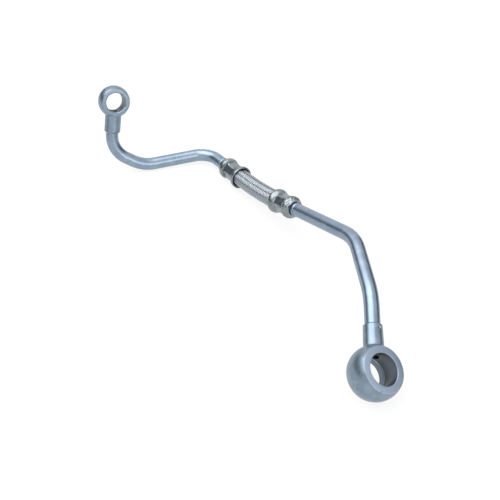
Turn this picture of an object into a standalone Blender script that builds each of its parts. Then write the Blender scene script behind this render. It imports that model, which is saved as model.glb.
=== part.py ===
"""
Turbo oil feed line.

Two bent steel pipes each end in a banjo eye and meet in a short braided hose, held by two crimped ferrules.
Lengths are metres and angles are degrees. The line lies on the floor as it comes to rest, with +Z up.
"""

from math import acos, cos, pi, radians, sin, sqrt, tan

import bmesh
import bpy
from mathutils import Euler, Matrix, Vector

# Clearance left wherever one piece sits in or on another
FIT_GAP = 0.0003

# Pipe stock
PIPE_OUTSIDE = 0.0080
PIPE_WALL = 0.0010

# Route of the centreline from the small eye to the big eye, corner to corner
LEG_FROM_SMALL_EYE = 0.0322
LEG_AFTER_ELBOW = 0.0238
LEG_BEFORE_RISER = 0.0466
LEG_TO_HOSE = 0.0613
LEG_FROM_HOSE = 0.0973
LEG_BETWEEN_BENDS = 0.0410
LEG_TO_BIG_EYE = 0.0411

# Angle of each corner
ELBOW_ANGLE = 67.5
SHALLOW_ANGLE = 35.1
RISER_ANGLE = 78.4
HOSE_ANGLE = 12.9
DROP_ANGLE = 33.7
LAST_ANGLE = 20.1

# Turn of each corner's plane about the pipe, from the plane of the corner before
SHALLOW_TURN = -5.3
RISER_TURN = 108.9
HOSE_TURN = -81.2
DROP_TURN = 121.4
LAST_TURN = 28.8

# Radius of each pipe bend, at the centreline
ELBOW_RADIUS = 0.0165
SHALLOW_RADIUS = 0.0255
RISER_RADIUS = 0.0135
DROP_RADIUS = 0.0290
LAST_RADIUS = 0.0400

# Braided hose: what shows between the ferrules, and its layers
HOSE_SHOWN = 0.0412
HOSE_INSIDE = 0.0071
BRAID_OUTSIDE = 0.0113
BRAID_THICKNESS = 0.0004
BRAID_RELIEF = 0.00015
BRAID_PITCH = 0.0012
CRIMPED_BRAID_OUTSIDE = 0.0096
SQUEEZE_START = 0.0005
SQUEEZE_END = 0.0036

# Ferrule, from its open mouth: rim, bell, waist, rise, collar and tail
MOUTH_DIAMETER = 0.0150
MOUTH_LENGTH = 0.0012
MOUTH_WALL = 0.0006
BELL_LENGTH = 0.0044
WAIST_DIAMETER = 0.0119
WAIST_LENGTH = 0.0052
RISE_LENGTH = 0.0044
COLLAR_DIAMETER = 0.0139
COLLAR_LENGTH = 0.0005
COLLAR_WALL = 0.0010
TAIL_LENGTH = 0.0042
TAIL_DIAMETER = 0.0099
LIP_THICKNESS = 0.0020
WAIST_START = MOUTH_LENGTH + BELL_LENGTH
WAIST_END = WAIST_START + WAIST_LENGTH
COLLAR_START = WAIST_END + RISE_LENGTH
COLLAR_END = COLLAR_START + COLLAR_LENGTH
FERRULE_LENGTH = COLLAR_END + TAIL_LENGTH

# Flats pressed round the ferrule, and the share of their depth at each ring of the bell and of the rise
FLATS = 6
FLATS_CLOCK = 5.5
FLAT_DEPTH = 0.0004
BELL_FLAT = (0.0, 0.0, 0.0, 0.5, 1.0, 1.0)
RISE_FLAT = (1.0, 1.0, 1.0, 1.0, 0.0, 0.0)
CURVE_STEPS = 4

# Hose end of each pipe
BEAD_DIAMETER = 0.0089
BEAD_WIDTH = 0.0014
BEAD_CLEARANCE = 0.0012
INNER_BEAD_DIAMETER = 0.0096
INNER_BEAD_WIDTH = 0.0014
STEM_DIAMETER = 0.0065
STEM_START = 0.0030
STEM_SHOULDER = 0.0007
STEM_TAPER = 0.0007
INNER_BEAD_MIDDLE = FERRULE_LENGTH - LIP_THICKNESS - FIT_GAP - INNER_BEAD_WIDTH / 2
STEM_END = INNER_BEAD_MIDDLE - INNER_BEAD_WIDTH / 2 - STEM_SHOULDER - STEM_TAPER
HOSE_END_CLEARANCE = 0.0005
HOSE_IN_FERRULE = STEM_END - HOSE_END_CLEARANCE
STEM_GROOVE_DEPTH = 0.0002
STEM_GROOVE_WIDTH = 0.0012

# Small banjo eye
SMALL_BALL = 0.0203
SMALL_THICKNESS = 0.0108
SMALL_BORE = 0.0124
SMALL_BORE_CHAMFER = 0.0004
SMALL_NECK = 0.0103
SMALL_NECK_TIP = 0.0102
SMALL_NECK_REACH = 0.0200
SMALL_NECK_FILLET = 0.0006
SMALL_EYE_CLOCK = -3.3

# Big banjo eye
BIG_BALL = 0.0277
BIG_THICKNESS = 0.0144
BIG_BORE = 0.0163
BIG_BORE_CHAMFER = 0.0002
BIG_NECK = 0.0104
BIG_NECK_TIP = 0.0098
BIG_NECK_REACH = 0.0248
BIG_NECK_FILLET = 0.0012
BIG_EYE_CLOCK = 82.3

# Oil groove in the big bore, from the back face
GROOVE_FROM_BACK = 0.0036
GROOVE_WIDTH = 0.0010
GROOVE_DEPTH = 0.0004

# Both eyes
NECK_CHAMFER = 0.0007
SOCKET_DEPTH = 0.0090
OIL_HOLE = 0.0050
SPOT_FACE_MARGIN = 0.0001

# Stake mark on the big neck
STAKE_DIAMETER = 0.0022
STAKE_DEPTH = 0.0004
STAKE_FROM_TIP = 0.0025
STAKE_CLOCK = -2.5

# How the line lies on the floor
LIE_ROLL = -27.07
LIE_PITCH = 70.25
LIE_HEADING = -96.04

# Fineness of the round forms
PIPE_SIDES = 16
LINER_SIDES = 16
BRAID_SIDES = 24
BALL_SIDES = 40
NECK_SIDES = 28
BEND_STEP = 9.0

ZINC_PLATE = ((0.42, 0.48, 0.58), 1.0, 0.34)
EYE_PLATE = ((0.40, 0.46, 0.55), 1.0, 0.40)
NICKEL_PLATE = ((0.55, 0.56, 0.54), 1.0, 0.24)
BRAID_WIRE = ((0.62, 0.63, 0.65), 1.0, 0.30)
LINER_PLASTIC = ((0.86, 0.85, 0.80), 0.0, 0.45)


class Route:
    """The centreline, read by the distance travelled along it. Each frame has X ahead and never twists."""

    def __init__(self):
        self.stretches = []
        self.length = 0.0
        self.end = Matrix.Identity(4)

    def add(self, length, radius=None, turn=0.0):
        """Adds a straight stretch, or an arc whose plane is turned about the way ahead."""
        self.stretches.append((self.length, length, radius, turn, self.end))
        self.end = self.end @ self.step(length, radius, turn)
        self.length += length

    @staticmethod
    def step(distance, radius, turn):
        """Frame reached after a distance along one stretch."""
        if radius is None:
            return Matrix.Translation((distance, 0, 0))
        angle = distance / radius
        reach = Vector((radius * sin(angle), radius * (1 - cos(angle)), 0))
        roll = Matrix.Rotation(turn, 4, 'X')
        return roll @ Matrix.Translation(reach) @ Matrix.Rotation(angle, 4, 'Z') @ roll.inverted()

    def at(self, distance):
        """Frame at a distance from the small eye."""
        for start, length, radius, turn, frame in reversed(self.stretches):
            if distance >= start:
                break
        return frame @ self.step(distance - start, radius, turn)

    def stops(self, here, there):
        """Distances between two places at which a swept piece needs a ring to follow the bends."""
        low, high = sorted((here, there))
        found = []
        for start, length, radius, _, _ in self.stretches:
            if radius is None:
                continue
            steps = max(2, round(length / radius / radians(BEND_STEP)))
            found += [start + length * index / steps for index in range(steps + 1)]
        found = [distance for distance in found if low < distance < high]
        return sorted(found, reverse=there < here)


def tangent_length(radius, angle):
    """Distance from a corner to where its arc starts."""
    return radius * tan(angle / 2)


def lay_route():
    """Builds the centreline from the table of legs, turns, angles and radii."""
    hose_radius = HOSE_SHOWN / radians(HOSE_ANGLE)
    corners = [
        (LEG_FROM_SMALL_EYE, 0.0, ELBOW_ANGLE, ELBOW_RADIUS),
        (LEG_AFTER_ELBOW, SHALLOW_TURN, SHALLOW_ANGLE, SHALLOW_RADIUS),
        (LEG_BEFORE_RISER, RISER_TURN, RISER_ANGLE, RISER_RADIUS),
        (LEG_TO_HOSE, HOSE_TURN, HOSE_ANGLE, hose_radius),
        (LEG_FROM_HOSE, DROP_TURN, DROP_ANGLE, DROP_RADIUS),
        (LEG_BETWEEN_BENDS, LAST_TURN, LAST_ANGLE, LAST_RADIUS),
    ]
    route = Route()
    used = 0.0
    turned = 0.0
    bend_starts = []
    for leg, turn, angle, radius in corners:
        taken = tangent_length(radius, radians(angle))
        route.add(leg - used - taken)
        turned += radians(turn)
        bend_starts.append(route.length)
        route.add(radius * radians(angle), radius, turned)
        used = taken
    route.add(LEG_TO_BIG_EYE - used)
    return route, bend_starts[3], turned


ROUTE, SMALL_MOUTH, LAST_PLANE = lay_route()
BIG_MOUTH = SMALL_MOUTH + HOSE_SHOWN


def finish(name, look):
    """Metal or plastic with the colour, metallic value and roughness given."""
    colour, metallic, roughness = look
    material = bpy.data.materials.new(name)
    material.use_nodes = True
    shader = material.node_tree.nodes['Principled BSDF']
    shader.inputs['Base Color'].default_value = (*colour, 1.0)
    shader.inputs['Metallic'].default_value = metallic
    shader.inputs['Roughness'].default_value = roughness
    material.diffuse_color = (*colour, 1.0)
    return material


def new_piece(name, mesh_builder, line, frame=Matrix.Identity(4), look=None):
    """Turns finished mesh data into an object that rides on the line; one without a look is a cutter."""
    bmesh.ops.recalc_face_normals(mesh_builder, faces=mesh_builder.faces)
    mesh = bpy.data.meshes.new(name)
    mesh_builder.to_mesh(mesh)
    mesh_builder.free()
    mesh.shade_smooth()
    mesh.set_sharp_from_angle(angle=radians(35))
    piece = bpy.data.objects.new(name, mesh)
    bpy.context.collection.objects.link(piece)
    piece.parent = line
    piece.matrix_local = frame
    if look is None:
        piece.display_type = 'WIRE'
        piece.hide_render = True
    else:
        mesh.materials.append(finish(name, look))
    return piece


def round_ring(radius, sides):
    """Points of a circle in the plane across the centreline."""
    return [(radius * cos(2 * pi * k / sides), radius * sin(2 * pi * k / sides)) for k in range(sides)]


def woven_ring(radius, sides, row):
    """Circle whose points stand proud and sunk by turns, and change over from row to row, as in a braid."""
    ring = []
    for k in range(sides):
        reach = radius - BRAID_RELIEF * ((k + row) % 2)
        ring.append((reach * cos(2 * pi * k / sides), reach * sin(2 * pi * k / sides)))
    return ring


def crimped_ring(radius, depth):
    """Circle with flats pressed into it to a depth, which is none where it stays round."""
    half_flat = acos(1 - 2 * FLAT_DEPTH / WAIST_DIAMETER)
    half_sector = pi / FLATS
    offsets = (-half_flat, -half_flat / 2, 0.0, half_flat / 2, half_flat, half_sector)
    ring = []
    for flat in range(FLATS):
        middle = radians(FLATS_CLOCK) + 2 * half_sector * flat
        for offset in offsets:
            reach = min(radius, (radius - depth) / cos(offset))
            ring.append((reach * cos(middle + offset), reach * sin(middle + offset)))
    return ring


def swept_solid(name, rings, line, look):
    """One closed solid from rings set across the centreline, with the last joined to the first."""
    builder = bmesh.new()
    loops = []
    for distance, ring in rings:
        frame = ROUTE.at(distance)
        loops.append([builder.verts.new(frame @ Vector((0, y, z))) for y, z in ring])
    for loop, following in zip(loops, loops[1:] + loops[:1]):
        for k in range(len(loop)):
            after = (k + 1) % len(loop)
            builder.faces.new((loop[k], loop[after], following[after], following[k]))
    return new_piece(name, builder, line, look=look)


def followed(outline):
    """Outline of (distance, radius), with points added where it runs round a bend."""
    points = [outline[0]]
    for (here, radius), (there, next_radius) in zip(outline, outline[1:]):
        for stop in ROUTE.stops(here, there):
            share = (stop - here) / (there - here)
            points.append((stop, radius + share * (next_radius - radius)))
        points.append((there, next_radius))
    return points


def quarter_curve(start, end):
    """Points of a quarter ellipse between two (distance, radius) points, without the first. It is level
    where it is wider."""
    points = []
    for step in range(1, CURVE_STEPS + 1):
        angle = pi / 2 * step / CURVE_STEPS
        if end[1] > start[1]:
            along, up = 1 - cos(angle), sin(angle)
        else:
            along, up = sin(angle), 1 - cos(angle)
        points.append((start[0] + (end[0] - start[0]) * along, start[1] + (end[1] - start[1]) * up))
    return points


def soft_step(start, end, depths):
    """Rings (distance, radius, depth of the flats) of a step, level at both ends, without its start."""
    rings = []
    for step, depth in enumerate(depths, 1):
        share = step / len(depths)
        ease = share * share * (3 - 2 * share)
        rings.append((start[0] + (end[0] - start[0]) * share, start[1] + (end[1] - start[1]) * ease, depth))
    return rings


def bead(middle, width, radius, pipe_radius):
    """Outline of a rolled bead, from its far side to its near side."""
    far = (middle + width / 2, pipe_radius)
    near = (middle - width / 2, pipe_radius)
    return [far, *quarter_curve(far, (middle, radius)), *quarter_curve((middle, radius), near)]


def make_pipe(name, line, eye_end, mouth, side):
    """Pipe from its socket in the eye to its stem in the hose. Side leads from the mouth to the pipe."""
    outer = PIPE_OUTSIDE / 2
    inner = outer - PIPE_WALL
    stem = STEM_DIAMETER / 2
    stem_bore = stem - PIPE_WALL
    outer_bead = FERRULE_LENGTH + BEAD_CLEARANCE + BEAD_WIDTH / 2
    taper_top = STEM_END + STEM_TAPER
    profile = bead(outer_bead, BEAD_WIDTH, BEAD_DIAMETER / 2, outer)
    profile += bead(INNER_BEAD_MIDDLE, INNER_BEAD_WIDTH, INNER_BEAD_DIAMETER / 2, outer)
    profile += [(taper_top, outer), (STEM_END, stem)]
    for share in (0.65, 0.3):
        groove = STEM_START + share * (STEM_END - STEM_START)
        profile += [
            (groove + STEM_GROOVE_WIDTH / 2, stem),
            (groove, stem - STEM_GROOVE_DEPTH),
            (groove - STEM_GROOVE_WIDTH / 2, stem),
        ]
    profile += [(STEM_START, stem), (STEM_START, stem_bore), (STEM_END, stem_bore), (taper_top, inner)]
    outline = [(eye_end, outer), *((mouth + side * x, radius) for x, radius in profile), (eye_end, inner)]
    rings = [(distance, round_ring(radius, PIPE_SIDES)) for distance, radius in followed(outline)]
    return swept_solid(name, rings, line, ZINC_PLATE)


def make_ferrule(name, line, mouth, side):
    """Ferrule: bell mouth over the braid, waist pressed to flats, round collar and a lip turned in."""
    mouth_radius = MOUTH_DIAMETER / 2
    waist = WAIST_DIAMETER / 2
    collar = COLLAR_DIAMETER / 2
    lip_hole = PIPE_OUTSIDE / 2 + FIT_GAP
    grip = CRIMPED_BRAID_OUTSIDE / 2 + FIT_GAP
    collar_room = collar - COLLAR_WALL
    lip_start = FERRULE_LENGTH - LIP_THICKNESS
    round_tail = (0.0,) * len(RISE_FLAT)
    outside = [
        (0.0, mouth_radius - MOUTH_WALL / 2, 0.0),
        (MOUTH_WALL / 2, mouth_radius, 0.0),
        (MOUTH_LENGTH, mouth_radius, 0.0),
        *soft_step((MOUTH_LENGTH, mouth_radius), (WAIST_START, waist), BELL_FLAT),
        (WAIST_END, waist, 1.0),
        *soft_step((WAIST_END, waist), (COLLAR_START, collar), RISE_FLAT),
        (COLLAR_END, collar, 0.0),
        *soft_step((COLLAR_END, collar), (FERRULE_LENGTH, TAIL_DIAMETER / 2), round_tail),
    ]
    inside = [
        (FERRULE_LENGTH, lip_hole),
        (lip_start, lip_hole),
        (lip_start, INNER_BEAD_DIAMETER / 2 + FIT_GAP),
        (COLLAR_END, collar_room),
        (COLLAR_START, collar_room),
        (WAIST_END, grip),
        (WAIST_START, grip),
        (MOUTH_LENGTH, mouth_radius - MOUTH_WALL),
        (0.0, mouth_radius - MOUTH_WALL),
    ]
    rings = [(mouth + side * x, crimped_ring(radius, share * FLAT_DEPTH)) for x, radius, share in outside]
    rings += [(mouth + side * x, crimped_ring(radius, 0.0)) for x, radius in inside]
    return swept_solid(name, rings, line, NICKEL_PLATE)


def hose_layer(free_radius, crimped_radius):
    """Outline of one face of a hose layer, full between the mouths and squeezed inside the ferrules."""
    return [
        (SMALL_MOUTH - HOSE_IN_FERRULE, crimped_radius),
        (SMALL_MOUTH - SQUEEZE_END, crimped_radius),
        (SMALL_MOUTH - SQUEEZE_START, free_radius),
        (BIG_MOUTH + SQUEEZE_START, free_radius),
        (BIG_MOUTH + SQUEEZE_END, crimped_radius),
        (BIG_MOUTH + HOSE_IN_FERRULE, crimped_radius),
    ]


def make_braid(line):
    """Braided wire sleeve: a woven outside that shows between the mouths, and a smooth inside."""
    free = BRAID_OUTSIDE / 2
    crimped = CRIMPED_BRAID_OUTSIDE / 2
    outside = hose_layer(free, crimped)
    inside = followed(hose_layer(free - BRAID_THICKNESS, crimped - BRAID_THICKNESS)[::-1])
    shown_from = SMALL_MOUTH - SQUEEZE_START
    shown_to = BIG_MOUTH + SQUEEZE_START
    rows = round((shown_to - shown_from) / BRAID_PITCH)
    rings = [(distance, round_ring(radius, BRAID_SIDES)) for distance, radius in outside[:2]]
    for row in range(rows + 1):
        distance = shown_from + (shown_to - shown_from) * row / rows
        rings.append((distance, woven_ring(free, BRAID_SIDES, row)))
    rings += [(distance, round_ring(radius, BRAID_SIDES)) for distance, radius in outside[4:]]
    rings += [(distance, round_ring(radius, BRAID_SIDES)) for distance, radius in inside]
    return swept_solid('hose_braid', rings, line, BRAID_WIRE)


def make_liner(line):
    """Plastic tube that carries the oil through the braid and over both pipe stems."""
    gap = BRAID_THICKNESS + FIT_GAP
    outside = hose_layer(BRAID_OUTSIDE / 2 - gap, CRIMPED_BRAID_OUTSIDE / 2 - gap)
    bore = HOSE_INSIDE / 2
    outline = followed([*outside, (outside[-1][0], bore), (outside[0][0], bore)])
    rings = [(distance, round_ring(radius, LINER_SIDES)) for distance, radius in outline]
    return swept_solid('hose_liner', rings, line, LINER_PLASTIC)


def turned(outline, sides):
    """Solid of revolution about Z from an outline of (radius, height) that starts and ends on the axis."""
    builder = bmesh.new()
    verts = [builder.verts.new((radius, 0, height)) for radius, height in outline]
    edges = [builder.edges.new(pair) for pair in zip(verts, verts[1:])]
    profile = verts + edges
    bmesh.ops.spin(builder, geom=profile, axis=(0, 0, 1), angle=2 * pi, steps=sides, use_merge=True)
    bmesh.ops.remove_doubles(builder, verts=builder.verts, dist=1e-7)
    return builder


def cut(piece, cutter, operation='DIFFERENCE'):
    """Boolean of one piece with a hidden one."""
    modifier = piece.modifiers.new(cutter.name, 'BOOLEAN')
    modifier.operation = operation
    modifier.object = cutter
    modifier.solver = 'EXACT'


def neck_outline(ball_radius, root_radius, tip_radius, reach, fillet):
    """Outline of the neck: it flows out of the ball through a fillet, then tapers to its chamfered tip."""
    centre_radius = root_radius + fillet
    centre_height = sqrt((ball_radius + fillet) ** 2 - centre_radius ** 2)
    share = ball_radius / (ball_radius + fillet)
    start = Vector((centre_radius * share - centre_radius, centre_height * share - centre_height))
    sweep = Vector((-1.0, 0.0)).angle_signed(start)
    arc = []
    for step in (1.0, 0.66, 0.33, 0.0):
        angle = sweep * step
        arc.append((centre_radius - fillet * cos(angle), centre_height + fillet * sin(angle)))
    root = arc[0][0]
    return [
        (0.0, ball_radius / 2),
        (root, ball_radius / 2),
        *arc,
        (tip_radius, reach - NECK_CHAMFER),
        (tip_radius - NECK_CHAMFER, reach),
        (0.0, reach),
    ]


def bore_outline(ball_radius, half_thickness, bore_radius, chamfer, grooved):
    """Outline of one cutter for a bore, its chamfers and groove, and the flat faces on both sides."""
    spot = sqrt(ball_radius ** 2 - half_thickness ** 2) + SPOT_FACE_MARGIN
    clear = ball_radius * 1.1
    outline = [(0.0, -clear), (spot, -clear), (spot, -half_thickness)]
    outline += [(bore_radius + chamfer, -half_thickness), (bore_radius, -half_thickness + chamfer)]
    if grooved:
        low = -half_thickness + GROOVE_FROM_BACK
        outline += [(bore_radius, low), (bore_radius + GROOVE_DEPTH, low + GROOVE_DEPTH / 2)]
        high = low + GROOVE_WIDTH
        outline += [(bore_radius + GROOVE_DEPTH, high - GROOVE_DEPTH / 2), (bore_radius, high)]
    outline += [(bore_radius, half_thickness - chamfer), (bore_radius + chamfer, half_thickness)]
    return outline + [(spot, half_thickness), (spot, clear), (0.0, clear)]


def stake_punch(name, line, frame):
    """Round punch that stakes the pipe in the big neck."""
    ball_radius = (STAKE_DIAMETER ** 2 / 4 + STAKE_DEPTH ** 2) / (2 * STAKE_DEPTH)
    height = BIG_NECK_TIP / 2 + ball_radius - STAKE_DEPTH
    clock = radians(STAKE_CLOCK)
    place = Vector((BIG_NECK_REACH - STAKE_FROM_TIP, height * sin(clock), height * cos(clock)))
    builder = bmesh.new()
    bmesh.ops.create_uvsphere(builder, u_segments=16, v_segments=12, radius=ball_radius)
    return new_piece(name, builder, line, frame @ Matrix.Translation(place))


def make_eye(
    name, line, frame, ball, thickness, bore, chamfer, neck, tip, reach, fillet, grooved=False, staked=False
):
    """Banjo eye: a forged ball and neck, faced on both sides, bored across and drilled down the neck."""
    ball_radius = ball / 2
    half_facet = pi / BALL_SIDES
    builder = bmesh.new()
    rows = BALL_SIDES // 2
    bmesh.ops.create_uvsphere(builder, u_segments=BALL_SIDES, v_segments=rows, radius=ball_radius)
    eye = new_piece(name, builder, line, frame @ Matrix.Rotation(half_facet, 4, 'Z'), EYE_PLATE)
    along_neck = frame @ Matrix.Rotation(pi / 2, 4, 'Y')
    neck_solid = turned(neck_outline(ball_radius, neck / 2, tip / 2, reach, fillet), NECK_SIDES)
    cut(eye, new_piece(name + '_neck', neck_solid, line, along_neck), 'UNION')
    if staked:
        cut(eye, stake_punch(name + '_punch', line, frame))
    bore_solid = turned(bore_outline(ball_radius, thickness / 2, bore / 2, chamfer, grooved), BALL_SIDES)
    cut(eye, new_piece(name + '_bore', bore_solid, line, frame))
    socket = PIPE_OUTSIDE / 2 + FIT_GAP
    floor = reach - SOCKET_DEPTH
    beyond = reach + NECK_CHAMFER
    oil = OIL_HOLE / 2
    hole = [(0.0, 0.0), (oil, 0.0), (oil, floor), (socket, floor), (socket, beyond), (0.0, beyond)]
    cut(eye, new_piece(name + '_socket', turned(hole, PIPE_SIDES), line, along_neck))


def settle(line):
    """Lowers the line onto the floor, with the middle of its outline over the origin."""
    bpy.context.view_layer.update()
    graph = bpy.context.evaluated_depsgraph_get()
    corners = []
    for piece in line.children:
        if not piece.hide_render:
            solid = piece.evaluated_get(graph)
            corners += [solid.matrix_world @ vert.co for vert in solid.data.vertices]
    lowest = [min(corner[axis] for corner in corners) for axis in range(3)]
    highest = [max(corner[axis] for corner in corners) for axis in range(3)]
    line.location = (-(lowest[0] + highest[0]) / 2, -(lowest[1] + highest[1]) / 2, -lowest[2])


def main():
    for thing in list(bpy.data.objects):
        bpy.data.objects.remove(thing)
    line = bpy.data.objects.new('oil_feed_line', None)
    bpy.context.collection.objects.link(line)
    line.rotation_euler = Euler((radians(LIE_ROLL), radians(LIE_PITCH), radians(LIE_HEADING)))

    small_frame = ROUTE.at(0.0) @ Matrix.Rotation(radians(SMALL_EYE_CLOCK), 4, 'X')
    make_eye(
        'small_banjo_eye', line, small_frame, SMALL_BALL, SMALL_THICKNESS, SMALL_BORE, SMALL_BORE_CHAMFER,
        SMALL_NECK, SMALL_NECK_TIP, SMALL_NECK_REACH, SMALL_NECK_FILLET,
    )
    socket_floor = SOCKET_DEPTH - FIT_GAP
    make_pipe('small_side_pipe', line, SMALL_NECK_REACH - socket_floor, SMALL_MOUTH, -1)
    make_ferrule('small_side_ferrule', line, SMALL_MOUTH, -1)
    make_braid(line)
    make_liner(line)
    make_ferrule('big_side_ferrule', line, BIG_MOUTH, 1)
    make_pipe('big_side_pipe', line, ROUTE.length - BIG_NECK_REACH + socket_floor, BIG_MOUTH, 1)
    big_turn = Matrix.Rotation(LAST_PLANE + radians(BIG_EYE_CLOCK), 4, 'X')
    big_frame = ROUTE.end @ big_turn @ Matrix.Rotation(pi, 4, 'Z')
    make_eye(
        'big_banjo_eye', line, big_frame, BIG_BALL, BIG_THICKNESS, BIG_BORE, BIG_BORE_CHAMFER,
        BIG_NECK, BIG_NECK_TIP, BIG_NECK_REACH, BIG_NECK_FILLET, grooved=True, staked=True,
    )
    settle(line)


main()
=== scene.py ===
# %% [markdown]
# Turbo oil feed line
#
# Two bent steel pipes carry oil from an engine to its turbocharger. A short braided hose joins them, so
# that the engine can shake without cracking the pipe, and a banjo eye at each end takes a hollow bolt.
# The packed CAD model is loaded first. It fixes where every piece lies, and the finer pieces made below
# replace it.

from math import atan2, cos, degrees, hypot, pi, radians, sin, sqrt, tan

import bmesh
import bpy
from mathutils import Euler, Matrix, Vector
from mathutils.noise import noise


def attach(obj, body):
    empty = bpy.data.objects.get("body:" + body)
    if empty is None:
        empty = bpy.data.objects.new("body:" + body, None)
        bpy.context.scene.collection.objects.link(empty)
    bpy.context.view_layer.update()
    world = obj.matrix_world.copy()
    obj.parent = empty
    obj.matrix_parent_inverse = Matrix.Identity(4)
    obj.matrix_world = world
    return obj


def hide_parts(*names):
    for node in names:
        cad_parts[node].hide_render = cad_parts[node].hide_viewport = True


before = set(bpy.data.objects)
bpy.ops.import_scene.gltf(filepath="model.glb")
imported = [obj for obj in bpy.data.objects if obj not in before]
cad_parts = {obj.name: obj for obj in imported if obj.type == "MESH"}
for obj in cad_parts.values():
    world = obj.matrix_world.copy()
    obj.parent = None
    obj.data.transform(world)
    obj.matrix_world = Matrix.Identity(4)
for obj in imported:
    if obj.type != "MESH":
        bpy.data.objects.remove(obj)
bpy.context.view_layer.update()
print('nodes:', ', '.join(sorted(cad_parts)))

# %% [markdown]
# The way the line runs
#
# Every piece rides on one centreline: straight legs with an arc at each corner, as a bending machine
# makes it from a table of legs, angles and turns. A hand-drawn curve would be quicker, but its bends would
# not be round. The same table shaped the CAD model. A frame travels along the line with its X axis ahead
# and never twists about it, so a ring of points set across it stays in step through every bend.

# %% Table of legs and bends
LEGS = (0.0322, 0.0238, 0.0466, 0.0613, 0.0973, 0.0410, 0.0411)
ANGLES = (67.5, 35.1, 78.4, 12.9, 33.7, 20.1)
TURNS = (0.0, -5.3, 108.9, -81.2, 121.4, 28.8)
HOSE_CORNER = 3
HOSE_SHOWN = 0.0412
RADII = (0.0165, 0.0255, 0.0135, HOSE_SHOWN / radians(ANGLES[HOSE_CORNER]), 0.0290, 0.0400)
SMALL_EYE_CENTRE = Vector((-0.083369, 0.093137, 0.045936))
LIE = Euler((radians(-27.07), radians(70.25), radians(-96.04)))
MM = 1000
print(len(LEGS), 'legs and', len(ANGLES), 'corners; the hose makes corner', HOSE_CORNER + 1)

# %% Centreline


class Line:
    """The centreline, read by the distance travelled from the small eye."""

    def __init__(self):
        self.stretches = []
        self.length = 0.0
        self.end = Matrix.Translation(SMALL_EYE_CENTRE) @ LIE.to_matrix().to_4x4()

    def add(self, length, radius=None, turn=0.0):
        """Adds a straight stretch, or an arc whose plane is turned about the way ahead."""
        self.stretches.append((self.length, length, radius, turn, self.end))
        self.end = self.end @ self.step(length, radius, turn)
        self.length += length

    @staticmethod
    def step(distance, radius, turn):
        """Frame reached after a distance along one stretch."""
        if radius is None:
            return Matrix.Translation((distance, 0, 0))
        angle = distance / radius
        reach = Vector((radius * sin(angle), radius * (1 - cos(angle)), 0))
        roll = Matrix.Rotation(turn, 4, 'X')
        return roll @ Matrix.Translation(reach) @ Matrix.Rotation(angle, 4, 'Z') @ roll.inverted()

    def at(self, distance):
        """Frame at a distance from the small eye."""
        for start, length, radius, turn, stand in reversed(self.stretches):
            if distance >= start:
                break
        return stand @ self.step(distance - start, radius, turn)


def lay_line():
    """Builds the centreline, and gives where the hose starts to show and the last corner's turn."""
    line = Line()
    used = 0.0
    turned = 0.0
    bend_starts = []
    for leg, angle, turn, radius in zip(LEGS, ANGLES, TURNS, RADII):
        taken = radius * tan(radians(angle) / 2)
        line.add(leg - used - taken)
        turned += radians(turn)
        bend_starts.append(line.length)
        line.add(radius * radians(angle), radius, turned)
        used = taken
    line.add(LEGS[-1] - used)
    return line, bend_starts[HOSE_CORNER], turned


LINE, SMALL_MOUTH, LAST_PLANE = lay_line()
BIG_MOUTH = SMALL_MOUTH + HOSE_SHOWN
print('centreline', round(LINE.length * MM, 1), 'mm long; hose shows from', round(SMALL_MOUTH * MM, 1))

# %% [markdown]
# Working by hand in edit mode
#
# Every operator acts on what is selected, and the loaded CAD nodes are selected at first. Each tool below
# therefore clears the selection before it starts. A finished piece keeps its object at the origin and has
# its place in its mesh, as a CAD node has, so that it lines up with the model wherever it is exported.

# %% Selecting
MERGE_DISTANCE = 1e-6
SHARP_EDGE = 32


def only(thing):
    """Makes one object the selected and active one."""
    bpy.ops.object.select_all(action='DESELECT')
    thing.select_set(True)
    bpy.context.view_layer.objects.active = thing


def named(name):
    """Names the object that an operator just made."""
    thing = bpy.context.object
    thing.name = name
    thing.data.name = name
    return thing


def edit_all():
    """Enters edit mode with every vertex selected."""
    bpy.ops.object.mode_set(mode='EDIT')
    bpy.ops.mesh.select_mode(type='VERT')
    bpy.ops.mesh.select_all(action='SELECT')


print(len(bpy.context.selected_objects), 'CAD nodes are still selected after loading')

# %% Modifiers and finishing


def apply(thing, kind, **settings):
    """Adds a modifier, sets it and applies it."""
    only(thing)
    modifier = thing.modifiers.new(kind.title(), kind)
    for name, value in settings.items():
        setattr(modifier, name, value)
    bpy.ops.object.modifier_apply(modifier=modifier.name)


def boolean(thing, other, operation='DIFFERENCE'):
    """Joins or cuts with another object, which is used up."""
    apply(thing, 'BOOLEAN', operation=operation, object=other, solver='EXACT')
    bpy.data.objects.remove(other)


def settle(thing, place=None, sharp=SHARP_EDGE):
    """Puts a piece's place into its mesh, merges doubles, turns its faces outwards and shades it."""
    only(thing)
    if place is not None:
        thing.matrix_world = place
    bpy.ops.object.transform_apply(location=True, rotation=True, scale=True)
    edit_all()
    bpy.ops.mesh.remove_doubles(threshold=MERGE_DISTANCE)
    bpy.ops.mesh.normals_make_consistent(inside=False)
    bpy.ops.object.mode_set(mode='OBJECT')
    shape = bmesh.new()
    shape.from_mesh(thing.data)
    if shape.calc_volume(signed=True) < 0:
        edit_all()
        bpy.ops.mesh.flip_normals()
        bpy.ops.object.mode_set(mode='OBJECT')
    shape.free()
    bpy.ops.object.shade_smooth_by_angle(angle=radians(sharp))
    size = ' x '.join(f'{side:.1f}' for side in thing.dimensions * MM)
    print(thing.name, 'is', size, 'mm with', len(thing.data.polygons), 'faces')
    return thing


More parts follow.
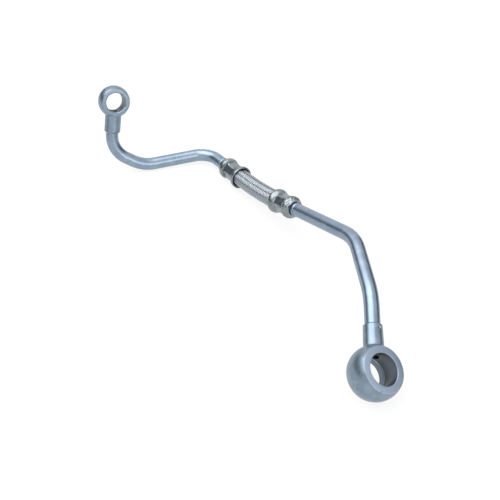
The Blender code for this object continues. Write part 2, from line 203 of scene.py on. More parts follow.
# %% [markdown]
# Bending pipe
#
# Each pipe is one steel tube. A curve with a bevel could make it, but its rings would bunch in the bends.
# Here a circle is set in the socket of its eye, extruded along every straight leg and spun about the
# bend's centre at every corner, which is what the bending machine does. Near the hose the tube has a
# rolled bead on each side of the ferrule's lip, and then it is drawn down to a stem with grooves that grip
# the hose. The wall comes last, from Solidify, which works inwards from this skin.

# %% Pipe values
PIPE_RADIUS = 0.0040
PIPE_WALL = 0.0010
PIPE_SIDES = 64
BEND_STEP = 2.5
FEWEST_STEPS = 2
FIT_GAP = 0.0003
FERRULE_LENGTH = 0.0199
LIP_THICKNESS = 0.0020
BEAD_RADIUS = 0.00445
BEAD_WIDTH = 0.0018
BEAD_CLEARANCE = 0.0008
INNER_BEAD_RADIUS = 0.0048
INNER_BEAD_WIDTH = 0.0014
STEM_RADIUS = 0.00325
STEM_START = 0.0030
STEM_END = 0.0148
STEM_TAPER = 0.0007
STEM_GROOVES = (0.65, 0.3)
STEM_GROOVE_DEPTH = 0.0002
STEM_GROOVE_WIDTH = 0.0012
CURVE_STEPS = 8
TOUCHING = 1e-9
print('pipe', 2 * PIPE_RADIUS * MM, 'mm outside and', 2 * (PIPE_RADIUS - PIPE_WALL) * MM, 'mm inside')

# %% Outlines of beads


def quarter_curve(start, end, steps=CURVE_STEPS):
    """Quarter ellipse between two (distance, radius) points, level where it is wider, without the first."""
    points = []
    for step in range(1, steps + 1):
        angle = pi / 2 * step / steps
        if end[1] > start[1]:
            along, up = 1 - cos(angle), sin(angle)
        else:
            along, up = sin(angle), 1 - cos(angle)
        points.append((start[0] + (end[0] - start[0]) * along, start[1] + (end[1] - start[1]) * up))
    return points


def bead(middle, width, radius):
    """Outline of a rolled bead on the pipe."""
    start = (middle - width / 2, PIPE_RADIUS)
    top = (middle, radius)
    return [start, *quarter_curve(start, top), *quarter_curve(top, (middle + width / 2, PIPE_RADIUS))]


print('a bead has', len(bead(0.0, BEAD_WIDTH, BEAD_RADIUS)), 'rings')

# %% Rings and turned solids


def open_ring(name, stand, radius, sides):
    """A circle across the way ahead, in edit mode with all of it selected."""
    bpy.ops.object.select_all(action='DESELECT')
    turn = (stand @ Matrix.Rotation(pi / 2, 4, 'Y')).to_euler()
    bpy.ops.mesh.primitive_circle_add(
        vertices=sides, radius=radius, location=stand.translation, rotation=turn
    )
    ring = named(name)
    edit_all()
    return ring


def extrude_to(start, end, old_radius, new_radius):
    """Extrudes the selected ring to another place on its axis, and scales it there."""
    bpy.ops.mesh.extrude_region_move(TRANSFORM_OT_translate={'value': end - start})
    if new_radius != old_radius:
        share = new_radius / old_radius
        bpy.ops.transform.resize(value=(share, share, share), center_override=end)


def turn_solid(name, stand, outline, sides, capped=False):
    """Turns a solid from its (distance, radius) outline, ring by ring along the X axis of a frame."""
    here, radius = outline[0]
    solid = open_ring(name, stand @ Matrix.Translation((here, 0, 0)), radius, sides)
    if capped:
        bpy.ops.mesh.edge_face_add()
    for there, new_radius in outline[1:]:
        start, end = (stand @ Vector((distance, 0, 0)) for distance in (here, there))
        extrude_to(start, end, radius, new_radius)
        here, radius = there, new_radius
    bpy.ops.object.mode_set(mode='OBJECT')
    return settle(solid)


# %% Running the pipe along the line


def run_pipe(here, there):
    """Extrudes and spins the selected ring along the centreline, forwards or backwards."""
    first, last = min(here, there), max(here, there)
    stretches = [s for s in LINE.stretches if s[0] < last - TOUCHING and s[0] + s[1] > first + TOUCHING]
    if there < here:
        stretches.reverse()
    for start, length, radius, turn, stand in stretches:
        low = max(start, first)
        high = min(start + length, last)
        begin, end = (low, high) if there > here else (high, low)
        if radius is None:
            extrude_to(LINE.at(begin).translation, LINE.at(end).translation, PIPE_RADIUS, PIPE_RADIUS)
            continue
        plane = stand @ Matrix.Rotation(turn, 4, 'X')
        centre = plane @ Vector((0, radius, 0))
        axis = plane.to_3x3() @ Vector((0, 0, 1))
        angle = (end - begin) / radius
        steps = max(FEWEST_STEPS, round(abs(degrees(angle)) / BEND_STEP))
        bpy.ops.mesh.spin(steps=steps, angle=-angle, center=centre, axis=axis)


def stem_outline():
    """Pipe's outline near the hose, from its outer bead to its end; distances are from the mouth."""
    outer_bead = FERRULE_LENGTH + BEAD_CLEARANCE + BEAD_WIDTH / 2
    inner_bead = FERRULE_LENGTH - LIP_THICKNESS - FIT_GAP - INNER_BEAD_WIDTH / 2
    outline = bead(outer_bead, BEAD_WIDTH, BEAD_RADIUS)[::-1]
    outline += bead(inner_bead, INNER_BEAD_WIDTH, INNER_BEAD_RADIUS)[::-1]
    outline += [(STEM_END + STEM_TAPER, PIPE_RADIUS), (STEM_END, STEM_RADIUS)]
    for share in STEM_GROOVES:
        groove = STEM_START + share * (STEM_END - STEM_START)
        outline += [
            (groove + STEM_GROOVE_WIDTH / 2, STEM_RADIUS),
            (groove, STEM_RADIUS - STEM_GROOVE_DEPTH),
            (groove - STEM_GROOVE_WIDTH / 2, STEM_RADIUS),
        ]
    return outline + [(STEM_START, STEM_RADIUS)]


def make_pipe(name, eye_end, mouth, side):
    """Pipe from its socket to its stem in the hose; side is the way from the mouth to the pipe."""
    pipe = open_ring(name, LINE.at(eye_end), PIPE_RADIUS, PIPE_SIDES)
    outline = stem_outline()
    here = mouth + side * outline[0][0]
    run_pipe(eye_end, here)
    radius = PIPE_RADIUS
    for distance, new_radius in outline[1:]:
        there = mouth + side * distance
        extrude_to(LINE.at(here).translation, LINE.at(there).translation, radius, new_radius)
        here, radius = there, new_radius
    bpy.ops.object.mode_set(mode='OBJECT')
    settle(pipe)
    apply(pipe, 'SOLIDIFY', thickness=PIPE_WALL, offset=-1.0, use_even_offset=True)
    return settle(pipe)


# %% Both pipes
SMALL_REACH = 0.0200
BIG_REACH = 0.0248
SOCKET_DEPTH = 0.0090
socket_floor = SOCKET_DEPTH - FIT_GAP
small_pipe = make_pipe('small_pipe', SMALL_REACH - socket_floor, SMALL_MOUTH, -1)
big_pipe = make_pipe('big_pipe', LINE.length - BIG_REACH + socket_floor, BIG_MOUTH, 1)

# %% [markdown]
# Banjo eyes
#
# An eye is forged as a ball with a neck, then faced on both sides, bored across for the bolt and drilled
# down the neck for the pipe. A sphere could be cut the same way, but its edges would stay ragged. Here the
# bored and faced ball is turned in one go from a closed outline, ring by ring, and the neck is turned and
# joined to it. An eye is made at the origin with the bore along Z and the neck along X, because the drills
# are then square to the axes, and it moves to the end of the line when it is done.

# %% Eye values
BALL_SIDES = 128
BALL_STEPS = 22
EDGE_STEPS = 4
NECK_SIDES = 96
NECK_CHAMFER = 0.0007
OIL_HOLE_RADIUS = 0.0025
EYE_SIZES = {
    'small_eye': dict(
        ball=0.01015, half=0.0054, bore=0.0062, chamfer=0.0004, neck=0.00515, tip=0.0051,
        reach=SMALL_REACH, root=0.0073, fillet=0.0006, groove=None,
    ),
    'big_eye': dict(
        ball=0.01385, half=0.0072, bore=0.00815, chamfer=0.0002, neck=0.0052, tip=0.0049,
        reach=BIG_REACH, root=0.0102, fillet=0.0012, groove=0.0036,
    ),
}
GROOVE_WIDTH = 0.0010
GROOVE_DEPTH = 0.0004
FACE_EDGE_ROUND = 0.00022
for eye_name, eye_size in EYE_SIZES.items():
    print(eye_name, 'has a bore of', round(2 * eye_size['bore'] * MM, 1), 'mm')

# %% Bored ball


def ball_outline(ball, half, bore, chamfer, groove):
    """Outline of half a bored ball, as (height, radius): bore, face, and round to the widest place."""
    outline = [(half - chamfer, bore), (half, bore + chamfer)]
    if groove:
        low = half - groove - GROOVE_WIDTH
        outline = [
            (low, bore),
            (low + GROOVE_DEPTH / 2, bore + GROOVE_DEPTH),
            (low + GROOVE_WIDTH - GROOVE_DEPTH / 2, bore + GROOVE_DEPTH),
            (low + GROOVE_WIDTH, bore),
        ] + outline
    edge_height = half - FACE_EDGE_ROUND
    edge_radius = sqrt((ball - FACE_EDGE_ROUND) ** 2 - edge_height ** 2)
    shoulder = atan2(edge_height, edge_radius)
    for step in range(EDGE_STEPS + 1):
        angle = pi / 2 + (shoulder - pi / 2) * step / EDGE_STEPS
        height = edge_height + FACE_EDGE_ROUND * sin(angle)
        outline.append((height, edge_radius + FACE_EDGE_ROUND * cos(angle)))
    for step in range(1, BALL_STEPS + 1):
        angle = shoulder * (1 - step / BALL_STEPS)
        outline.append((ball * sin(angle), ball * cos(angle)))
    return outline


def bored_ball(name, ball, half, bore, chamfer, groove):
    """Ball faced on both sides and bored: its outline is closed, so the last ring lands on the first."""
    front = ball_outline(ball, half, bore, chamfer, None)
    back = [(-height, radius) for height, radius in ball_outline(ball, half, bore, chamfer, groove)[-2::-1]]
    upright = Matrix.Rotation(-pi / 2, 4, 'Y')
    return turn_solid(name, upright, [(0.0, bore), *front, *back, (0.0, bore)], BALL_SIDES)


# %% Neck and drills


def turned_neck(ball, neck, tip, reach, root, fillet):
    """Neck that starts inside the ball, flows out of it through a fillet and ends in a chamfered tip."""
    centre_radius = neck + fillet
    centre_height = sqrt((ball + fillet) ** 2 - centre_radius ** 2)
    share = ball / (ball + fillet)
    sweep = Vector((-1.0, 0.0)).angle_signed(Vector((centre_radius, centre_height)) * (share - 1))
    outline = []
    for step in range(CURVE_STEPS + 1):
        angle = sweep * (1 - step / CURVE_STEPS)
        outline.append((centre_height + fillet * sin(angle), centre_radius - fillet * cos(angle)))
    outline += [(reach - NECK_CHAMFER, tip), (reach, tip - NECK_CHAMFER)]
    return turn_solid('neck', Matrix(), [(root, outline[0][1]), *outline], NECK_SIDES, capped=True)


def rod(name, start, end, radius):
    """Round drill along X."""
    bpy.ops.object.select_all(action='DESELECT')
    middle = ((start + end) / 2, 0, 0)
    bpy.ops.mesh.primitive_cylinder_add(
        vertices=NECK_SIDES, radius=radius, depth=end - start, location=middle, rotation=(0, pi / 2, 0)
    )
    return named(name)


def make_eye(name):
    """Whole eye, still at the origin."""
    size = EYE_SIZES[name]
    eye = bored_ball(name, size['ball'], size['half'], size['bore'], size['chamfer'], size['groove'])
    neck = turned_neck(size['ball'], size['neck'], size['tip'], size['reach'], size['root'], size['fillet'])
    boolean(eye, neck, 'UNION')
    floor = size['reach'] - SOCKET_DEPTH
    boolean(eye, rod('socket_drill', floor, size['reach'] + NECK_CHAMFER, PIPE_RADIUS + FIT_GAP))
    boolean(eye, rod('oil_drill', size['bore'] / 2, floor + NECK_CHAMFER, OIL_HOLE_RADIUS))
    return eye


# %% Small eye
SMALL_CLOCK = -3.3
BIG_CLOCK = 82.3
small_place = LINE.at(0.0) @ Matrix.Rotation(radians(SMALL_CLOCK), 4, 'X')
big_roll = Matrix.Rotation(LAST_PLANE + radians(BIG_CLOCK), 4, 'X')
big_place = LINE.end @ big_roll @ Matrix.Rotation(pi, 4, 'Z')
small_eye = make_eye('small_eye')
settle(small_eye, small_place)

# %% Big eye and its stake mark
STAKE_RADIUS = 0.0011
STAKE_DEPTH = 0.0004
STAKE_FROM_TIP = 0.0025
STAKE_CLOCK = -2.5
STAKE_SIDES = 48
STAKE_RINGS = 32

big_eye = make_eye('big_eye')
punch_radius = (STAKE_RADIUS ** 2 + STAKE_DEPTH ** 2) / (2 * STAKE_DEPTH)
punch_height = EYE_SIZES['big_eye']['tip'] + punch_radius - STAKE_DEPTH
clock = radians(STAKE_CLOCK)
bpy.ops.object.select_all(action='DESELECT')
bpy.ops.mesh.primitive_uv_sphere_add(
    segments=STAKE_SIDES, ring_count=STAKE_RINGS, radius=punch_radius,
    location=(BIG_REACH - STAKE_FROM_TIP, punch_height * sin(clock), punch_height * cos(clock)),
)
boolean(big_eye, named('punch'))
settle(big_eye, big_place)

# %% [markdown]
# Crimped ferrules
#
# A ferrule is a deep-drawn steel cup. Its bell mouth goes over the braid, and a press squeezes its waist
# into six flats, which leaves a round collar near the pipe. The cup is extruded ring by ring from its
# mouth. Six cutting boxes could make the flats, but the real metal is pushed in and not cut away. So each
# flat is pressed: every point that stands above it is moved down onto it, and the points keep their order.

# %% Ferrule values
FERRULE_SIDES = 144
SKIN_STEP = 0.00025
MOUTH_RADIUS = 0.0075
MOUTH_END = 0.0012
MOUTH_WALL = 0.0010
WAIST_RADIUS = 0.00595
WAIST_START = 0.0056
WAIST_END = 0.0108
COLLAR_RADIUS = 0.00695
COLLAR_START = 0.0152
COLLAR_END = 0.0157
COLLAR_WALL = 0.0010
TAIL_RADIUS = 0.00495
GRIP_RADIUS = 0.0051
FLATS = 6
FLATS_CLOCK = 5.5
FLAT_RADIUS = 0.00552
FLAT_STARTS = (0.0036, 0.0050)
FLAT_ENDS = (0.0138, 0.0142)
DENT_DEPTH = 0.00024
DENT_SIZE = 0.0010
DENTED_FROM = 0.0142
DENTED_TO = 0.0195
DENT_NOISE = (-0.1, 0.35)
print('flats', round(2 * FLAT_RADIUS * MM, 2), 'mm across, pressed into a waist of', 2 * WAIST_RADIUS * MM)

# %% Ferrule outline


def eased(value, low, high):
    """0 below low, 1 above high, and level at both."""
    share = min(1.0, max(0.0, (value - low) / (high - low)))
    return share * share * (3 - 2 * share)


def skin(distance):
    """Outside radius of a ferrule at a distance from its mouth."""
    bell = MOUTH_RADIUS + (WAIST_RADIUS - MOUTH_RADIUS) * eased(distance, MOUTH_END, WAIST_START)
    rise = (COLLAR_RADIUS - WAIST_RADIUS) * eased(distance, WAIST_END, COLLAR_START)
    fall = (TAIL_RADIUS - COLLAR_RADIUS) * eased(distance, COLLAR_END, FERRULE_LENGTH)
    return bell + rise + fall


def ferrule_outline():
    """Outside from mouth to tail, then inside back to the mouth."""
    lip_hole = PIPE_RADIUS + FIT_GAP
    lip_start = FERRULE_LENGTH - LIP_THICKNESS
    outline = [(0.0, MOUTH_RADIUS - MOUTH_WALL / 2)]
    outline += quarter_curve(outline[0], (MOUTH_WALL / 2, MOUTH_RADIUS))
    steps = round((FERRULE_LENGTH - MOUTH_END) / SKIN_STEP)
    for step in range(steps + 1):
        distance = MOUTH_END + (FERRULE_LENGTH - MOUTH_END) * step / steps
        outline.append((distance, skin(distance)))
    mouth_inside = (MOUTH_WALL / 2, MOUTH_RADIUS - MOUTH_WALL)
    outline += [
        (FERRULE_LENGTH, lip_hole),
        (lip_start, lip_hole),
        (lip_start, INNER_BEAD_RADIUS + FIT_GAP),
        (COLLAR_END, COLLAR_RADIUS - COLLAR_WALL),
        (COLLAR_START, COLLAR_RADIUS - COLLAR_WALL),
        (WAIST_END, GRIP_RADIUS),
        (WAIST_START, GRIP_RADIUS),
        (MOUTH_END, MOUTH_RADIUS - MOUTH_WALL),
        mouth_inside,
    ]
    return outline + quarter_curve(mouth_inside, (0.0, MOUTH_RADIUS - MOUTH_WALL / 2))


print('a ferrule has', len(ferrule_outline()), 'rings')

# %% Pressing and denting


def flat_height(distance):
    """How far out the flats lie: level under the press, and out of the way past it."""
    pressed = eased(distance, *FLAT_STARTS) - eased(distance, *FLAT_ENDS)
    return skin(distance) + (FLAT_RADIUS - skin(distance)) * pressed


def dent(place, distance):
    """How deep the pliers of the crimping bench have marked the collar at one place."""
    marked = eased(distance, DENTED_FROM, DENTED_FROM + DENT_SIZE)
    marked -= eased(distance, DENTED_TO - DENT_SIZE, DENTED_TO)
    return DENT_DEPTH * marked * eased(noise(place / DENT_SIZE), *DENT_NOISE)


def make_ferrule(name, mouth, side, dented=False):
    """Ferrule with its mouth at a distance along the line; side is the way from the mouth to the pipe."""
    stand = LINE.at(mouth)
    outline = [(side * distance, radius) for distance, radius in ferrule_outline()]
    ferrule = turn_solid(name, stand, outline, FERRULE_SIDES)
    back = stand.inverted()
    for vert in ferrule.data.vertices:
        local = back @ vert.co
        height = flat_height(side * local.x)
        for flat in range(FLATS):
            angle = radians(FLATS_CLOCK + 360 / FLATS * flat)
            out = Vector((0, cos(angle), sin(angle)))
            local -= out * max(0.0, local.dot(out) - height)
        if dented and hypot(local.y, local.z) > TAIL_RADIUS:
            local -= Vector((0, local.y, local.z)).normalized() * dent(local, side * local.x)
        vert.co = stand @ local
    return settle(ferrule)


# %% Both ferrules
small_ferrule = make_ferrule('small_ferrule', SMALL_MOUTH, -1)
big_ferrule = make_ferrule('big_ferrule', BIG_MOUTH, 1, dented=True)

# %% [markdown]
# Wire braid
#
# The hose is covered by steel wire, plaited from two sets of flat strands that wind in opposite
# directions. Each strand goes over two strands of the other set and then under two. A bump pattern on a
# tube would look flat at its edge, so every wire is a curve with a round bevel. Its points are worked out
# on the hose, because a plait has too many crossings to place by hand.

# %% Braid values
BRAID_RADIUS = 0.00525
STRANDS = 12
WIRES = 5
WIRE_RADIUS = 0.000115
WIRE_PITCH = 0.000215
WIRE_BEVEL = 1
WIRE_SHARP_EDGE = 80
CROWN = 0.00010
DIVE_DEPTH = 0.00016
STITCH = 0.00163
LEAD = STITCH * STRANDS
LEAN = atan2(2 * pi * BRAID_RADIUS, LEAD)
PLAIT_CLOCK = radians(-10)
DIVE = 2.5
BRAID_INSIDE = 0.0058
BRAID_POINTS = 170
CRIMPED_BRAID_RADIUS = 0.00455
SQUEEZE_START = 0.0005
SQUEEZE_END = 0.0036
print('wires lean', round(degrees(LEAN), 1), 'degrees and wind once in', round(LEAD * MM, 1), 'mm')

# %% Both sets of wires


def braid_radius(distance):
    """Radius at which the braid lies: full between the mouths, and squeezed inside the ferrules."""
    inside = max(SMALL_MOUTH - distance, distance - BIG_MOUTH)
    share = min(1.0, max(0.0, (inside - SQUEEZE_START) / (SQUEEZE_END - SQUEEZE_START)))
    return BRAID_RADIUS + (CRIMPED_BRAID_RADIUS - BRAID_RADIUS) * share


def make_braid(name, hand):
    """All wires that wind one way: on top along every other plait line, and diving under at the next."""
    curve = bpy.data.curves.new(name, 'CURVE')
    curve.dimensions = '3D'
    curve.bevel_depth = WIRE_RADIUS
    curve.bevel_resolution = WIRE_BEVEL
    curve.use_fill_caps = True
    start = SMALL_MOUTH - BRAID_INSIDE
    run = HOSE_SHOWN + 2 * BRAID_INSIDE
    for strand in range(STRANDS):
        for wire in range(WIRES):
            beside = (wire - (WIRES - 1) / 2) * WIRE_PITCH / (BRAID_RADIUS * cos(LEAN))
            crown = CROWN * (1 - (2 * wire / (WIRES - 1) - 1) ** 2)
            spline = curve.splines.new('POLY')
            spline.points.add(BRAID_POINTS - 1)
            for index, point in enumerate(spline.points):
                along = run * index / (BRAID_POINTS - 1)
                angle = hand * 2 * pi * along / LEAD + 2 * pi * strand / STRANDS + beside
                wave = hand * DIVE * sin(STRANDS / 2 * (angle - PLAIT_CLOCK))
                reach = braid_radius(start + along) + crown + DIVE_DEPTH * max(-1.0, min(1.0, wave))
                place = LINE.at(start + along) @ Vector((0, reach * cos(angle), reach * sin(angle)))
                point.co = (*place, 1.0)
    braid = bpy.data.objects.new(name, curve)
    bpy.context.collection.objects.link(braid)
    only(braid)
    bpy.ops.object.convert(target='MESH')
    return settle(bpy.context.object, sharp=WIRE_SHARP_EDGE)


left_braid = make_braid('left_hand_wires', 1)
right_braid = make_braid('right_hand_wires', -1)

# %% [markdown]
# Shader maths
#
# A material's node tree is a sum written in boxes. This class wraps one socket, so that sums can be
# written as sums: an expression adds its Math nodes, and one method adds every other kind of node.

# %% Sockets in Python sums


class Flow:
    """One output socket of a node tree."""

    def __init__(self, tree, socket=None):
        self.tree = tree
        self.socket = socket

    def node(self, kind, settings=None, values=None, output=0):
        """Adds a node: its settings first, then the values or links of its sockets."""
        made = self.tree.nodes.new(kind)
        for name, value in (settings or {}).items():
            setattr(made, name, value)
        for name, value in (values or {}).items():
            if isinstance(value, Flow):
                self.tree.links.new(value.socket, made.inputs[name])
            else:
                made.inputs[name].default_value = value
        return Flow(self.tree, made.outputs[output])

    def math(self, operation, *values):
        return self.node('ShaderNodeMath', {'operation': operation}, dict(enumerate(values)))

    def __add__(self, other):
        return self.math('ADD', self, other)

    def __mul__(self, other):
        return self.math('MULTIPLY', self, other)

    def __rsub__(self, other):
        return self.math('SUBTRACT', other, self)

    __radd__ = __add__
    __rmul__ = __mul__

    def between(self, low, high):
        """0 below low, 1 above high and smooth between."""
        values = {'Value': self, 'From Min': low, 'From Max': high}
        return self.node('ShaderNodeMapRange', {'interpolation_type': 'SMOOTHSTEP'}, values)

    def mix(self, first, second):
        """Colour mixed from first to second by this socket."""
        return self.node('ShaderNodeMix', {'data_type': 'RGBA'}, {0: self, 6: first, 7: second}, output=2)


# %% A new node material


def node_material(name):
    """Material with nodes: gives it, its shader, and the start of its sums."""
    material = bpy.data.materials.new(name)
    material.use_nodes = True
    tree = material.node_tree
    return material, tree.nodes['Principled BSDF'], Flow(tree)


def own_place(start):
    """Each point's own place on the piece, which stays the same wherever the camera stands."""
    return start.node('ShaderNodeTexCoord', output='Object')


print('sums may use', ', '.join(name for name in vars(Flow) if name.strip('_') in ('add', 'mul', 'rsub')))

# %% [markdown]
# Plated steel
#
# The pipes and eyes are bright zinc with a thin blue film. It looks even from afar, and up close it has
# soft cloudy patches, fine marks from drawing or turning, and a faint grain. One noise makes the clouds and
# a finer one the grain. Both change the gloss and the bump, since metal shows those more than its colour.

# %% Plated metal
CLOUD_NOISE = {'Detail': 5.0, 'Roughness': 0.6}
GRAIN_NOISE = {'Detail': 4.0, 'Roughness': 0.65}
PATCH_EDGES = (0.35, 0.68)
CLOUDS_IN_GLOSS = 0.6
GRAIN_IN_GLOSS = 0.4
CLOUDS_IN_BUMP = 0.5


def metal(name, light, dark, rough, cloud_size, grain_size, bump):
    """Plated steel: cloudy colour, uneven gloss and a fine grain."""
    material, shader, start = node_material(name)
    links = material.node_tree.links
    shader.inputs['Metallic'].default_value = 1.0
    where = own_place(start)
    cloud_values = {'Vector': where, 'Scale': 1 / cloud_size, **CLOUD_NOISE}
    clouds = start.node('ShaderNodeTexNoise', None, cloud_values)
    grain_values = {'Vector': where, 'Scale': 1 / grain_size, **GRAIN_NOISE}
    grain = start.node('ShaderNodeTexNoise', None, grain_values)
    colour = clouds.between(*PATCH_EDGES).mix((*dark, 1.0), (*light, 1.0))
    roughness = rough[0] + (rough[1] - rough[0]) * (CLOUDS_IN_GLOSS * clouds + GRAIN_IN_GLOSS * grain)
    height = grain + CLOUDS_IN_BUMP * clouds
    bumped = start.node('ShaderNodeBump', None, {'Strength': 1.0, 'Distance': bump, 'Height': height})
    links.new(colour.socket, shader.inputs['Base Color'])
    links.new(roughness.socket, shader.inputs['Roughness'])
    links.new(bumped.socket, shader.inputs['Normal'])
    print(name, 'has a roughness from', rough[0], 'to', rough[1])
    return material


# %% Pipe, ferrule and wire metal
ZINC_LIGHT = (0.30, 0.37, 0.46)
ZINC_DARK = (0.24, 0.31, 0.395)
NICKEL_LIGHT = (0.29, 0.33, 0.345)
NICKEL_DARK = (0.21, 0.24, 0.255)
WIRE_LIGHT = (0.46, 0.50, 0.54)
WIRE_DARK = (0.37, 0.41, 0.45)

pipe_zinc = metal(
    'pipe_zinc', ZINC_LIGHT, ZINC_DARK, (0.26, 0.40), cloud_size=0.006, grain_size=0.0012, bump=0.000006
)
nickel = metal(
    'nickel', NICKEL_LIGHT, NICKEL_DARK, (0.22, 0.34), cloud_size=0.004, grain_size=0.0006, bump=0.000008
)
wire_steel = metal(
    'wire_steel', WIRE_LIGHT, WIRE_DARK, (0.18, 0.30), cloud_size=0.0006, grain_size=0.0002, bump=0.000001
)

# %% [markdown]
# Cut faces, and painted shade in the bores
#
# The two faces of an eye are cut after forging, so they are more even than the ball, and their tone holds
# painted light on the big eye and painted shade on the small one. The bore is painted with shade, darkest
# deep inside, and with painted light behind the groove, near the back face. Separate materials on faces
# picked by hand would break where the drills cut. So one material finds each zone by its place: how far a
# point lies from the bore's axis, and how high it stands along it. Two pits in the big ball are dark dots.

# %% Eye values for colour
EYE_LIGHT = (0.28, 0.34, 0.41)
EYE_DARK = (0.21, 0.27, 0.34)
# Each cut face has an even tone of its own; the small eye's is darkened as painted shade, the big eye's is
# lightened as painted light.
SMALL_FACE_WITH_PAINTED_SHADE = (0.225, 0.28, 0.345, 1.0)
BIG_FACE_WITH_PAINTED_LIGHT = (0.42, 0.51, 0.64, 1.0)
# Bore colours are painted shade, darkest deep inside, with painted light near the back face.
SMALL_BORE_PAINTED_SHADE = (0.070, 0.085, 0.100, 1.0)
BIG_BORE_PAINTED_SHADE = (0.125, 0.145, 0.17, 1.0)
BORE_DEEP_PAINTED_SHADE = (0.055, 0.065, 0.08, 1.0)
BORE_REAR_PAINTED_LIGHT = (0.15, 0.175, 0.21, 1.0)
PIT_DARK = (0.03, 0.03, 0.03, 1.0)
# Heights where the bore's painted shade deepens, and where its painted light near the back face begins.
PAINTED_SHADE_FROM = 0.0045
PAINTED_SHADE_TO = -0.003
PAINTED_LIGHT_FROM = -0.0035
PAINTED_LIGHT_TO = -0.0041
UNDER_FACE = (0.00006, 0.00002)
OUT_OF_BORE = (0.00004, 0.00010)
PIT_EDGES = (0.00018, 0.00036)
BIG_PITS = ((-0.0113, 0.0025, 0.0072), (-0.0092, 0.0102, -0.0007))
print('the bore darkens over', round((PAINTED_SHADE_FROM - PAINTED_SHADE_TO) * MM, 1), 'mm;', len(BIG_PITS), 'pits')

# %% Eye metal


def eye_metal(name, place, size, face_tone_light_and_shade, bore, pits=()):
    """Plated eye: even cut faces carrying painted light and shade, and a bore in painted shade with painted
    light at its back.
    """
    rough = (0.28, 0.44)
    material = metal(name, EYE_LIGHT, EYE_DARK, rough, cloud_size=0.005, grain_size=0.0007, bump=0.00001)
    tree = material.node_tree
    base = tree.nodes['Principled BSDF'].inputs['Base Color']
    start = Flow(tree)
    colour = Flow(tree, base.links[0].from_socket)
    stand = {'Vector': own_place(start), 'Location': place.translation, 'Rotation': place.to_euler()}
    own = start.node('ShaderNodeMapping', {'vector_type': 'TEXTURE'}, stand)
    height = start.node('ShaderNodeSeparateXYZ', None, {'Vector': own}, output='Z')
    across = start.node('ShaderNodeVectorMath', {'operation': 'MULTIPLY'}, {0: own, 1: (1.0, 1.0, 0.0)})
    radius = start.node('ShaderNodeVectorMath', {'operation': 'LENGTH'}, {0: across}, output='Value')
    low, high = (size['half'] - depth for depth in UNDER_FACE)
    on_face = height.math('ABSOLUTE', height).between(low, high)
    inner, outer = (size['bore'] + gap for gap in OUT_OF_BORE)
    in_bore = 1 - radius.between(inner, outer)
    # The bore's wall gets painted shade that deepens inwards, then painted light near the back face.
    bore_painted_light_and_shade = height.between(PAINTED_SHADE_TO, PAINTED_SHADE_FROM).mix(BORE_DEEP_PAINTED_SHADE, bore)
    bore_painted_light_and_shade = height.between(PAINTED_LIGHT_TO, PAINTED_LIGHT_FROM).mix(BORE_REAR_PAINTED_LIGHT, bore_painted_light_and_shade)
    # Faces take their even tone, which carries painted light and shade; the bore takes its painted shade and
    # light.
    colour = in_bore.mix(on_face.mix(colour, face_tone_light_and_shade), bore_painted_light_and_shade)
    for pit in pits:
        ends = {0: own, 1: pit}
        away = start.node('ShaderNodeVectorMath', {'operation': 'DISTANCE'}, ends, output='Value')
        colour = away.between(*PIT_EDGES).mix(PIT_DARK, colour)
    tree.links.new(colour.socket, base)
    return material


# The bore colours given here are painted shade; the face colours carry painted light and shade.
small_eye_zinc = eye_metal('small_eye_zinc', small_place, EYE_SIZES['small_eye'], SMALL_FACE_WITH_PAINTED_SHADE, SMALL_BORE_PAINTED_SHADE)
big_eye_zinc = eye_metal('big_eye_zinc', big_place, EYE_SIZES['big_eye'], BIG_FACE_WITH_PAINTED_LIGHT, BIG_BORE_PAINTED_SHADE, BIG_PITS)

# %% [markdown]
# Dressing the pieces
#
# A piece here only looks right. The CAD model still says what it is, what it weighs and what it touches.
# So each new piece rides on the one body, takes the place of its CAD node, and gets its finish.

# %% Finish, body and node


def dress(piece, material, node):
    """Gives a piece its finish, and says what it stands for in the CAD model."""
    piece.data.materials.clear()
    piece.data.materials.append(material)
    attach(piece, 'root')
    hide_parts(node)
    print(piece.name, 'stands for', node, 'in', material.name)


dress(small_pipe, pipe_zinc, 'small_side_pipe')
dress(big_pipe, pipe_zinc, 'big_side_pipe')
dress(small_eye, small_eye_zinc, 'small_banjo_eye')
dress(big_eye, big_eye_zinc, 'big_banjo_eye')
dress(small_ferrule, nickel, 'small_side_ferrule')
dress(big_ferrule, nickel, 'big_side_ferrule')
dress(left_braid, wire_steel, 'hose_braid')
dress(right_braid, wire_steel, 'hose_braid')

# %% [markdown]
# Liner
#
# The oil runs in a plastic tube inside the braid. Only a dark glimpse of it shows between the wires, so the
# CAD model's own tube stays, and it gets a dull, slightly mottled plastic.

# %% Liner plastic
LINER_LIGHT = (0.16, 0.16, 0.17, 1.0)
LINER_DARK = (0.10, 0.10, 0.11, 1.0)
LINER_MOTTLE = 400.0
LINER_ROUGHNESS = 0.55

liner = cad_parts['hose_liner']
liner_plastic, liner_shader, start = node_material('liner_plastic')
mottle = start.node('ShaderNodeTexNoise', None, {'Vector': own_place(start), 'Scale': LINER_MOTTLE})
liner_colour = mottle.mix(LINER_DARK, LINER_LIGHT)
liner_plastic.node_tree.links.new(liner_colour.socket, liner_shader.inputs['Base Color'])
liner_shader.inputs['Roughness'].default_value = LINER_ROUGHNESS
liner.data.materials.clear()
liner.data.materials.append(liner_plastic)
print(liner.name, 'keeps its CAD shape in', liner_plastic.name)

# %% [markdown]
# Floor, light and camera
#
# The line lies on a plain pale floor in a white room. A broad soft box hangs above and to the left, and a
# small one stands at the right. Metal only shows what it mirrors, and in an all-white room it would look
# like paper, so two black cards stand beside it: they draw the dark streaks along the pipes. The cards and
# the soft boxes are out of the camera's sight.

